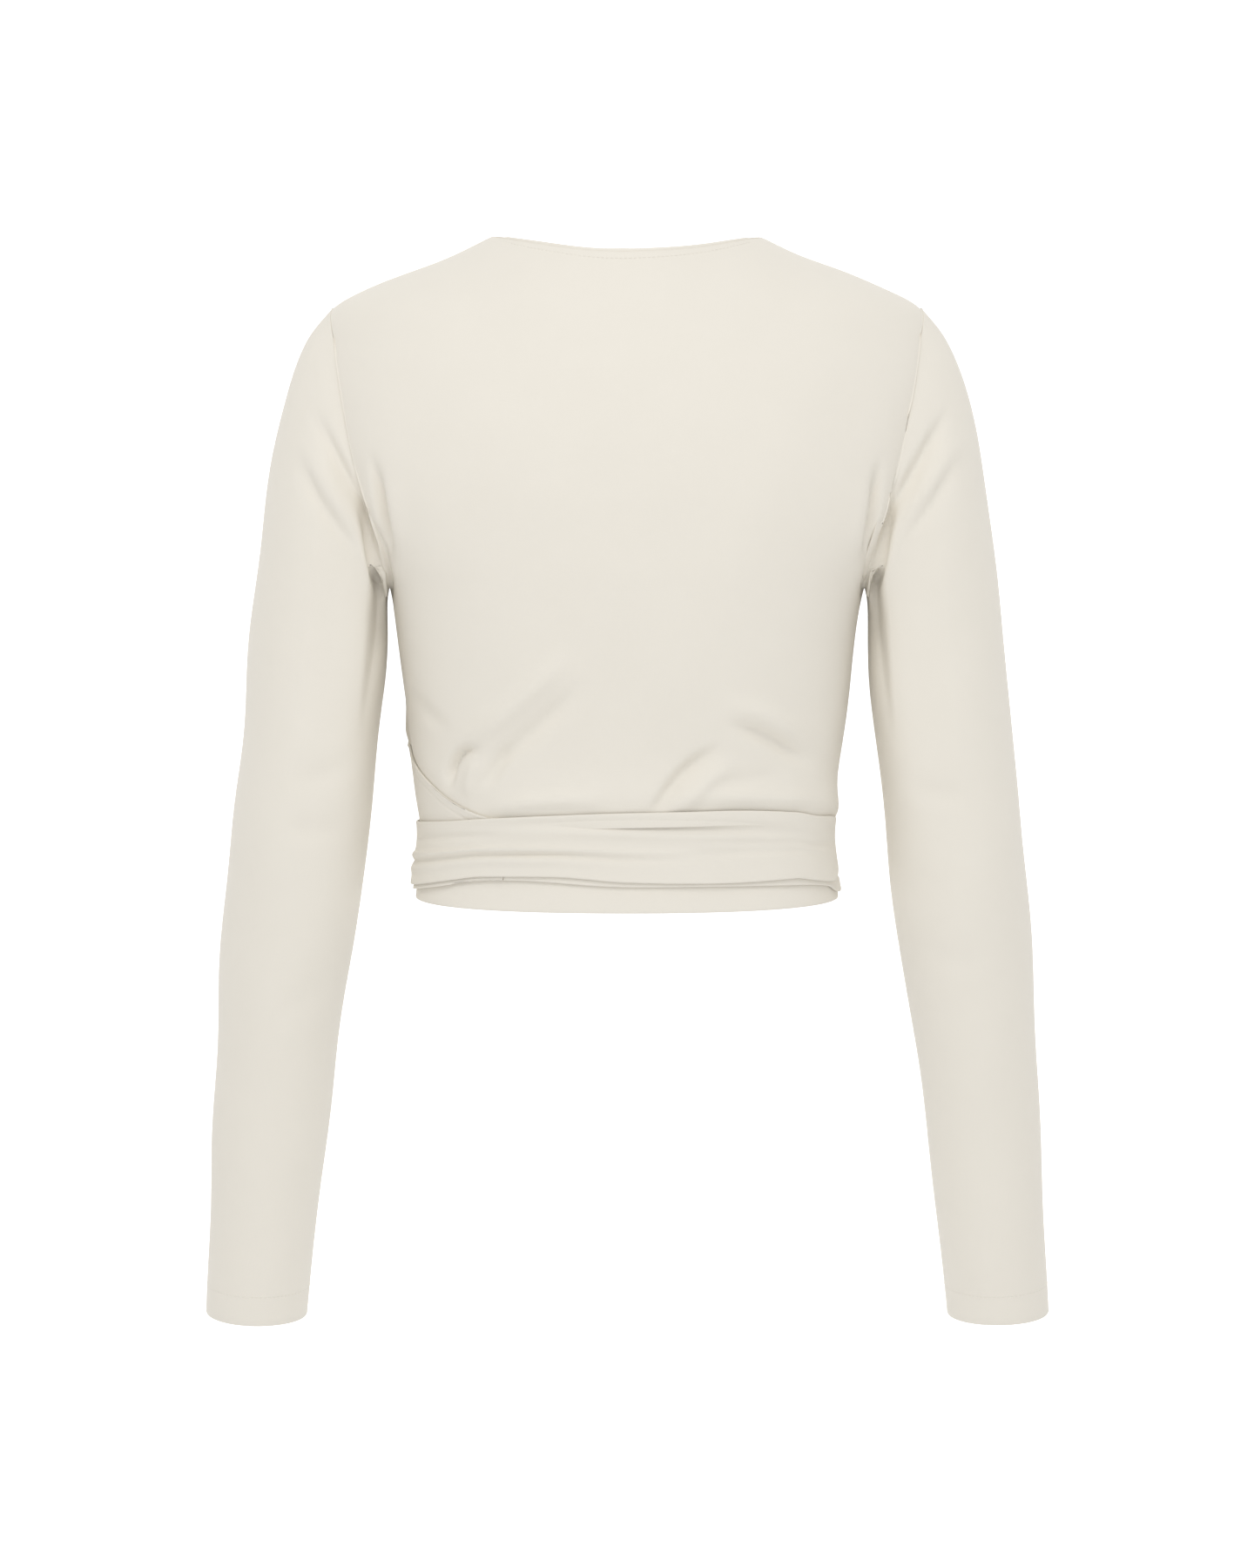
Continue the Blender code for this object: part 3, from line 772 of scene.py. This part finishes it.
def front_lift(points, turn, z):
    """Folds that both fronts share, and the back's folds where the wrap lies on the back."""
    clear, above = above_the_ties(turn, z)
    lift = fold_lift(points[..., 0], z, FRONT_FOLDS) * clear * (np.abs(turn) < 90.0)
    lift = (lift * off_the_sides(turn) + breath(points)) * off_the_armhole(turn, z)
    return lift + blouse(turn, points[..., 0], above) * (turn <= 90.0)


def front_panel(node, own_turn, low, high, shown, plies, way):
    """A front with its own turn growing towards the tie, way 1 with the form's turn, -1 against it."""
    turn, share = np.meshgrid(np.sort(way * own_turn), panel_shares())
    own = way * turn
    top = np.where(own <= -NECK_TURN, shoulder_top(turn), high(own))
    z = low(own) + (top - low(own)) * share
    points = on_form(shown(turn, z), z, turn > 90.0, PLY * plies(own, z))
    lift = front_lift(points, turn, z)
    edge = rise(-NECK_TURN, -NECK_TURN + 3.0, own)
    lift += turning_groove(points, "high", NECK_TURNING) * edge
    points += normals_of(points) * lift[..., None]
    flat = measure(points)
    from_seam = own[0] > -NECK_TURN + 1.5
    stitches = edge_path(points, "high", NECK_TURNING, from_seam & (own[0] < own.max() - 1.0))
    hem = edge_path(points, "low", FRONT_HEM_STITCH, (own[0] > -88.0) & (own[0] < 70.0))
    roll = 90.0 + 90.0 * rise(-NECK_TURN - 1.0, -NECK_TURN + 2.0, own[0])
    points, flat = turn_side(points, flat, "left" if way > 0 else "right")
    points, flat = turn_top(points, flat, roll, (6, 0) if way > 0 else (0, 6))
    points, flat = turn_in(points, flat, "low", 180.0, HEM_RADIUS, depth=FRONT_HEM)
    piece = make_piece(f"{node}_cloth", node, cream, points, flat)
    return piece, stitch_row(f"{node}_stitches", stitches), stitch_row(f"{node}_hem_stitches", hem)


def over_shown(turn, z):
    return turn + SLIT_GAPE * slit(z) * rise(-76.0, -90.0, turn)


front_left = front_panel(
    "front_left",
    turns(-90.0, 81.0),
    under_low,
    under_high,
    lambda turn, z: turn,
    lambda own, z: under_plies(own),
    -1,
)
front_right = front_panel(
    "front_right",
    turns(-90.0, 144.0),
    over_low,
    over_high,
    over_shown,
    lambda own, z: over_plies(own) * (1 - rise(-60.0, 0.0, z)),
    1,
)

# %% [markdown]
# ## The sleeves
# A set-in sleeve starts on the armhole's own curve and turns into a slim tube. Its seam runs under
# the arm. Creases run from the armpit over the upper arm, a few soft ones lie at the elbow, and the
# cuff is turned up once and stitched.

# %% The sleeves
SLEEVE = {
    # share of the length: (outer x, outer z, inner x, inner z, half depth, forward, lean)
    0.00: (174.0, -42.0, 139.6, -206.0, 50.0, 0.0, 0.0),
    0.06: (187.0, -57.0, 140.6, -209.0, 49.5, 0.0, 0.0),
    0.12: (196.5, -78.0, 141.2, -213.0, 49.0, 0.0, 0.0),
    0.19: (204.5, -109.0, 141.6, -218.0, 48.5, 0.0, 0.0),
    0.27: (211.5, -149.0, 141.8, -225.0, 48.0, 0.0, 0.0),
    0.35: (217.5, -192.0, 142.0, -236.0, 47.5, 0.0, 0.0),
    0.43: (222.5, -240.0, 143.0, -256.0, 46.5, 0.0, 0.0),
    0.52: (227.5, -296.0, 147.5, -298.0, 45.0, 0.0, 1.0),
    0.60: (233.7, -343.0, 153.1, -344.0, 44.0, 2.0, 3.0),
    0.68: (238.5, -386.0, 158.0, -388.0, 43.0, 6.0, 6.0),
    0.78: (243.1, -447.0, 167.7, -448.0, 40.0, 15.0, 7.0),
    0.88: (247.2, -524.0, 179.0, -526.0, 36.0, 27.0, 5.0),
    1.00: (255.5, -646.5, 193.6, -648.5, 33.0, 44.0, 4.0),
}
sleeve_place = [curve(SLEEVE, k, soften=0.012, step=0.002) for k in range(7)]
CUFF_TURNING = 18.5
SEAM_GAP = 0.3
SLEEVE_RADIUS = 45.0  # about, to turn the gap into an angle
SLEEVE_COLUMNS, SLEEVE_ROWS = 108, 236

SLEEVE_FOLDS = {
    # side: folds on the back of the sleeve, in x (positive) and z
    1: {
        "armpit_long": ((184, -98), (165, -133), (142, -182), -4.4, 4.2, 0.2),
        "armpit_long_ridge": ((192, -116), (172, -146), (153, -178), 2.8, 6.5, 0.0),
        "armpit_low": ((191, -120), (178, -152), (154, -182), -2.6, 4.5, 0.2),
        "armpit_wedge": ((157, -134), (149, -172), (143.5, -216), -6.5, 3.2, 0.0),
        "elbow_one": ((158, -300), (176, -312), (200, -314), -1.5, 7.0, 0.0),
        "elbow_two": ((160, -340), (180, -346), (206, -340), -1.3, 7.0, 0.0),
        "forearm": ((176, -430), (190, -448), (208, -456), -1.1, 8.0, 0.0),
    },
    -1: {
        "armpit_long": ((190, -96), (170, -129), (145, -174), -4.4, 4.2, 0.2),
        "armpit_long_ridge": ((198, -110), (178, -140), (158, -170), 2.6, 6.5, 0.0),
        "armpit_low": ((194, -122), (180, -148), (160, -176), -2.2, 4.5, 0.2),
        "armpit_wedge": ((157, -136), (149, -173), (143.5, -216), -6.5, 3.2, 0.0),
        "elbow_one": ((160, -312), (180, -324), (204, -322), -1.4, 7.0, 0.0),
        "forearm": ((172, -412), (190, -424), (212, -420), -1.1, 8.0, 0.0),
    },
}

SLEEVE_FRONT_FOLDS = {
    "armpit_long": ((190, -104), (168, -132), (148, -160), -2.8, 5.5, 0.2),
    "armpit_long_ridge": ((196, -114), (176, -142), (158, -166), 1.6, 7.0, 0.0),
    "armpit_low": ((194, -134), (180, -160), (160, -182), -1.6, 6.0, 0.0),
    "elbow_one": ((158, -306), (180, -300), (212, -318), -2.0, 7.0, 0.2),
    "elbow_ridge": ((158, -318), (182, -314), (214, -330), 1.6, 7.0, 0.0),
    "elbow_two": ((160, -330), (184, -330), (216, -346), -1.6, 6.0, 0.0),
    "forearm": ((172, -400), (192, -408), (220, -400), -1.0, 8.0, 0.0),
}


def armhole(angle):
    """The armhole's curve on the left side. Angle 0 is the shoulder, a right angle is at the back."""
    z = (SHOULDER_TIP + UNDERARM) / 2 + (SHOULDER_TIP - UNDERARM) / 2 * np.cos(angle)
    back_half = np.sin(angle) >= 0
    z_inside = np.minimum(z, SHOULDER_TIP - 1e-4)
    depth = np.where(back_half, 1.0, -1.0) * armhole_depth(z)
    return np.stack([reach(z_inside, back_half), depth, z], axis=-1)


def sleeve_ring(share, angle):
    outer_x, outer_z, inner_x, inner_z, deep, forward, lean = (at(share) for at in sleeve_place)
    tilt = np.radians(lean)
    c, s = np.cos(angle), np.sin(angle)
    tight = rise(0.03, 0.14, share) * (1 - rise(0.4, 0.7, share)) * rise(0.3, -0.5, c)
    power = 2 / (2 + 1.3 * tight)
    c, s = np.sign(c) * np.abs(c) ** power, np.sign(s) * np.abs(s) ** power
    tuck = rise(0.05, 0.12, share) * (1 - rise(0.3, 0.52, share)) * rise(-0.74, -0.83, c)
    s *= 1 - 0.6 * tuck
    x = (outer_x + inner_x) / 2 + (outer_x - inner_x) / 2 * c
    z = (outer_z + inner_z) / 2 + (outer_z - inner_z) / 2 * c
    return np.stack([x, -forward + np.cos(tilt) * deep * s, z - np.sin(tilt) * deep * s], axis=-1)


def sleeve(node, side):
    """A sleeve: rows from the cuff up to the armhole, columns from the seam under the arm."""
    gap = SEAM_GAP / 2 / SLEEVE_RADIUS
    angles = np.pi + side * np.linspace(gap, 2 * np.pi - gap, SLEEVE_COLUMNS)
    shares = (1 - np.linspace(0.0, 1.0, SLEEVE_ROWS)) ** 1.15
    angle, share = np.meshgrid(angles, shares)
    near = (1 - rise(0.0, 0.3, share))[..., None]
    points = sleeve_ring(share, angle) + (armhole(angle) - sleeve_ring(0.0 * share, angle)) * near
    points[..., 0] += SEAM_GAP * near[..., 0]
    x, z = points[..., 0], points[..., 2]
    lift = fold_lift(x, z, SLEEVE_FOLDS[side]) * rise(-0.05, 0.3, np.sin(angle))
    lift += fold_lift(x, z, SLEEVE_FRONT_FOLDS) * rise(0.05, -0.3, np.sin(angle))
    points[..., 0] *= side
    lift = lift * rise(0.0, 0.008, share) + breath(points) * rise(0.0, 0.05, share)
    lift += turning_groove(points, "low", CUFF_TURNING, height=0.45)
    points += normals_of(points) * lift[..., None]
    flat = measure(points)
    stitches = edge_path(points, "low", CUFF_TURNING, np.full(len(angles), True))
    for edge in ("left", "right"):
        points, flat = turn_in(points, flat, edge, depth=4.0)
    points, flat = turn_in(points, flat, "high")
    points, flat = turn_in(points, flat, "low", 180.0, HEM_RADIUS, depth=CUFF_TURNING)
    piece = make_piece(f"{node}_cloth", node, cream, points, flat)
    return piece, stitch_row(f"{node}_cuff_stitches", stitches)


sleeve_left = sleeve("sleeve_left", 1)
sleeve_right = sleeve("sleeve_right", -1)

# %% [markdown]
# ## The ties
# Each tie is a long flat strip with turned edges. The first runs from the right front round the back
# to the knot. The second comes out of the slit, covers the first across the back and goes right
# round to the knot. It creases along its length where the waist is narrower than its edges.

# %% The ties
TIE_WIDTH = 38.0
TURN_MM = 1.9
FIRST_TIE = 400.0  # added to the turns of the first tie, so that its folds are not the second's

TIE_FOLDS = {
    # name: (start, middle, end, height, half width, skew), in turns and shares of the width
    "upper_crease": ((126, 0.90), (184, 0.80), (256, 0.61), -1.5, 2.8, 0.0),
    "upper_roll": ((150, 0.98), (192, 0.94), (250, 0.82), 0.5, 2.6, 0.0),
    "upper_low_roll": ((140, 0.76), (190, 0.67), (246, 0.50), 1.0, 2.6, 0.0),
    "right_crease": ((196, 0.60), (228, 0.54), (266, 0.57), -1.4, 2.2, 0.0),
    "middle_fold": ((62, 0.30), (124, 0.38), (212, 0.29), -1.5, 1.5, 0.2),
    "middle_roll": ((56, 0.19), (126, 0.27), (200, 0.19), 1.5, 2.8, 0.0),
    "middle_high_roll": ((60, 0.40), (124, 0.48), (208, 0.39), 2.7, 2.5, -0.25),
    "middle_faint": ((184, 0.34), (216, 0.42), (258, 0.38), -1.2, 2.2, 0.0),
    "left_upper": ((88, 0.70), (118, 0.73), (150, 0.66), -1.1, 2.2, 0.0),
    "front_long": ((82, 0.44), (38, 0.55), (-18, 0.50), -1.9, 1.8, 0.2),
    "front_long_roll": ((80, 0.56), (38, 0.67), (-18, 0.61), 1.7, 2.6, 0.0),
    "front_upper": ((60, 0.78), (22, 0.82), (-20, 0.72), -1.8, 1.8, 0.0),
    "front_lower": ((46, 0.20), (8, 0.27), (-20, 0.34), -2.0, 1.8, 0.0),
    "first_front": ((680, 0.55), (700, 0.50), (728, 0.50), -1.8, 1.9, 0.0),
    "first_side": ((640, 0.40), (662, 0.52), (690, 0.44), -1.4, 2.0, 0.0),
}


def scaled(folds, across, up):
    """Folds keyed in turns and shares of the width, in millimetres."""
    return {
        name: (*[(p[0] * across, p[1] * up) for p in row[:3]], *row[3:]) for name, row in folds.items()
    }


def tie(name, way, own_turns, low, high, plies):
    """A tie, for its solids at the back and in front. Its own turn runs with the form's if way is 1."""
    turn, share = np.meshgrid(np.sort(way * own_turns), np.linspace(0.0, 1.0, 34))
    own = way * turn
    z = low(own) + (high(own) - low(own)) * share
    around = turn % 360.0
    at_back = (around > 90.0) & (around < 270.0)
    points = on_form(turn, z, at_back, PLY * plies(own))
    seen = np.where(around > OVER_END, around - 360.0, around) if way < 0 else around + FIRST_TIE
    lift = fold_lift(seen * TURN_MM, share * TIE_WIDTH, scaled(TIE_FOLDS, TURN_MM, TIE_WIDTH))
    to_knot = rise(own.max() - 34.0, own.max() - 4.0, own)
    lift += 0.9 * to_knot * (1 + ripple(share * 20.0 + own * 0.05, 6.5, 11 if way > 0 else 12))
    lift += breath(points)
    points += normals_of(points) * lift[..., None]
    flat = measure(points)
    points, flat = turn_in(points, flat, "high", 180.0, HEM_RADIUS, depth=8.0)
    points, flat = turn_in(points, flat, "low", 180.0, HEM_RADIUS, depth=8.0)
    nodes = (f"{name}_back", f"{name}_front")
    return make_piece(f"{name}_cloth", nodes, cream_tie, points, flat)


tie_right = tie("tie_right", 1, turns(144.3, 332.5), over_low, over_high, over_plies)
tie_left = tie("tie_left", -1, turns(81.3, 386.5), under_low, under_high, under_plies)

# %% [markdown]
# ## The knot and the two ends
# The ties meet a little to the wearer's right in a flat square knot, with short ends below it.

# %% The knot and the ends
END_TOP, END_FOOT, END_LIFT = -354.0, -402.0, 7.0
KNOT_SIZE = np.array([40.0, 19.0, 44.0])

KNOT_FOLDS = {
    # name: (start, middle, end, height, half width, skew), from the knot's middle
    "band_edge_low": ((-36, -27), (-3, -10), (34, 1), -5.0, 1.5, 0.2),
    "band_edge_high": ((-36, -5), (-3, 10), (32, 29), -5.0, 1.5, -0.2),
    "band_crown": ((-36, -16), (-2, 0), (34, 15), 2.6, 6.5, 0.0),
    "band_pleat_one": ((-30, -18), (-1, -3), (28, 9), -1.5, 1.3, 0.0),
    "band_pleat_two": ((-24, -5), (-2, 5), (22, 18), -1.2, 1.2, 0.0),
    "low_pleat_one": ((-10, -30), (3, -15), (20, -6), -2.0, 1.7, 0.0),
    "low_pleat_two": ((4, -32), (12, -17), (26, -10), -1.5, 1.5, 0.0),
    "high_pleat_one": ((-26, 6), (-11, 14), (2, 30), -2.0, 1.6, 0.0),
    "high_pleat_two": ((-26, 16), (-15, 19), (-8, 30), -1.2, 1.4, 0.0),
}


def knot_frame():
    at = on_form(np.array([KNOT_TURN]), np.array([KNOT_Z]), False, 0.0)[0]
    out = on_form(np.array([KNOT_TURN]), np.array([KNOT_Z]), False, 1.0)[0] - at
    return at, out, np.cross(np.array([0.0, 0.0, 1.0]), out) * -1


def knot():
    around, up = np.meshgrid(np.linspace(0, 2 * np.pi, 97), np.linspace(-np.pi / 2, np.pi / 2, 60)[1:-1])
    cosine, sine = np.cos(up), np.sin(up)

    def power(value, exponent):
        return np.sign(value) * np.abs(value) ** exponent

    across = power(cosine, 0.8) * power(np.cos(around), 0.85)
    outwards = power(cosine, 0.8) * power(np.sin(around), 0.85)
    height = power(sine, 0.85)
    local = np.stack([across, outwards, height], axis=-1) * KNOT_SIZE * 0.45
    lift = fold_lift(local[..., 0], local[..., 2], KNOT_FOLDS) * rise(-0.1, 0.3, outwards)
    at, out, aside = knot_frame()
    centre = at + out * (END_LIFT + 0.42 * KNOT_SIZE[1] + 0.6)
    basis = np.stack([aside, out, np.array([0.0, 0.0, 1.0])])
    normal = normals_of(local)
    points = (local + normal * lift[..., None]) @ basis + centre
    points[:, -1] = points[:, 0]
    return make_piece("knot_cloth", "knot", cream_tie, points, measure(points), closed=True)


def tie_end(node, way):
    across, share = np.meshgrid(np.linspace(-1.0, 1.0, 19), np.linspace(0.0, 1.0, 26))
    down = 1 - share
    turn = KNOT_TURN + way * (3.6 + 7.0 * down) + across * (2.9 + 2.6 * down)
    z = END_TOP + (END_FOOT - END_TOP) * down + 1.5 * across * way * down
    lift = END_LIFT + 1.1 * (1 + ripple(across * 12.0, 9.0, 20 + way)) * (0.5 + 0.5 * down)
    lift += 1.2 * rise(0.3, 1.0, down)
    points = on_form(turn, z, False, 0.0)
    points += normals_of(points) * lift[..., None]
    flat = measure(points)
    for edge in ("left", "right", "low"):
        points, flat = turn_in(points, flat, edge, 180.0, HEM_RADIUS, depth=4.0)
    return make_piece(f"{node}_cloth", node, cream_tie, points, flat)


the_knot = knot()
end_right = tie_end("end_right", -1)
end_left = tie_end("end_left", 1)

# %% [markdown]
# ## The flat cuts
# Every piece is a flat cut of jersey, with turned edges and seam allowances. The longest rows
# printed above for the back, the fronts and the sleeves are 3 to 9 mm more than their flat widths.

# %% Flat cuts
print(f"{len(pieces) - 1} sheets declared; the knot goes with the left tie")

# %% [markdown]
# ## A white studio
# The top hangs before a white curved backdrop. Only the part behind it glows, for a floor that glowed
# as much would light the folds from below. The light comes from above, with a soft fill behind.

# %% The floor, the light and the camera
def area_light(name, place, target, size, power):
    light = bpy.data.lights.new(name, "AREA")
    light.shape = "DISK"
    light.size = size
    light.energy = power
    lamp = add_object(name, light)
    lamp.location = place
    lamp.rotation_euler = (Vector(target) - Vector(place)).to_track_quat("-Z", "Y").to_euler()


def studio():
    """The backdrop: a floor, a rounded bend and a wall. Its glow fades from the wall and the bend to the
    floor in front.
    """
    bm = bmesh.new()
    width, floor, back_wall, bend = 9.0, -1.35, -4.2, 1.2
    profile = [(6.5, floor)]
    for k in range(13):
        angle = math.radians(90 * k / 12)
        profile.append((back_wall + bend - bend * math.sin(angle), floor + bend - bend * math.cos(angle)))
    profile.append((back_wall, 5.0))
    rows = [[bm.verts.new((x, y, z)) for x in (-width, width)] for y, z in profile]
    for low, high in zip(rows, rows[1:]):
        bm.faces.new((low[0], low[1], high[1], high[0]))
    mesh = bpy.data.meshes.new("backdrop")
    bm.to_mesh(mesh)
    bm.free()
    mesh.shade_smooth()
    tree = Tree("white_paper")
    tree.set(Base_Color=(0.93, 0.93, 0.93, 1.0), Roughness=0.9, Specular_IOR_Level=0.1)
    place = tree.add("ShaderNodeTexCoord", output=3)
    depth = tree.add("ShaderNodeSeparateXYZ", None, place, output=1)
    glow = tree.add("ShaderNodeMapRange", None, depth, -2.3, -1.2, 1.0, 0.1)
    tree.set(Emission_Color=glow, Emission_Strength=0.5)
    mesh.materials.append(tree.material)
    add_object("backdrop", mesh)


studio()
world = bpy.data.worlds.new("soft room")
bpy.context.scene.world = world
world.use_nodes = True
world.node_tree.nodes["Background"].inputs["Color"].default_value = (1.0, 1.0, 1.0, 1.0)
world.node_tree.nodes["Background"].inputs["Strength"].default_value = 0.74
area_light("key", (0.1, 1.5, 1.45), (0.0, 0.0, -0.2), 1.1, 12)
area_light("fill", (-0.2, 3.6, 0.3), (0.0, 0.0, -0.3), 2.4, 7)

CAMERA_DISTANCE = 3.2
VIEW_HEIGHT = 0.927  # what the picture's height covers at the garment
camera_data = bpy.data.cameras.new("camera")
camera = add_object("camera", camera_data)
camera.location = (0.0, CAMERA_DISTANCE, 0.0)
sight = Vector((0.0, 0.0, -0.322)) - camera.location
camera.rotation_euler = sight.to_track_quat("-Z", "Y").to_euler()
camera_data.lens = camera_data.sensor_width * sight.length / VIEW_HEIGHT
bpy.context.scene.camera = camera
bpy.context.scene.view_settings.view_transform = "Standard"
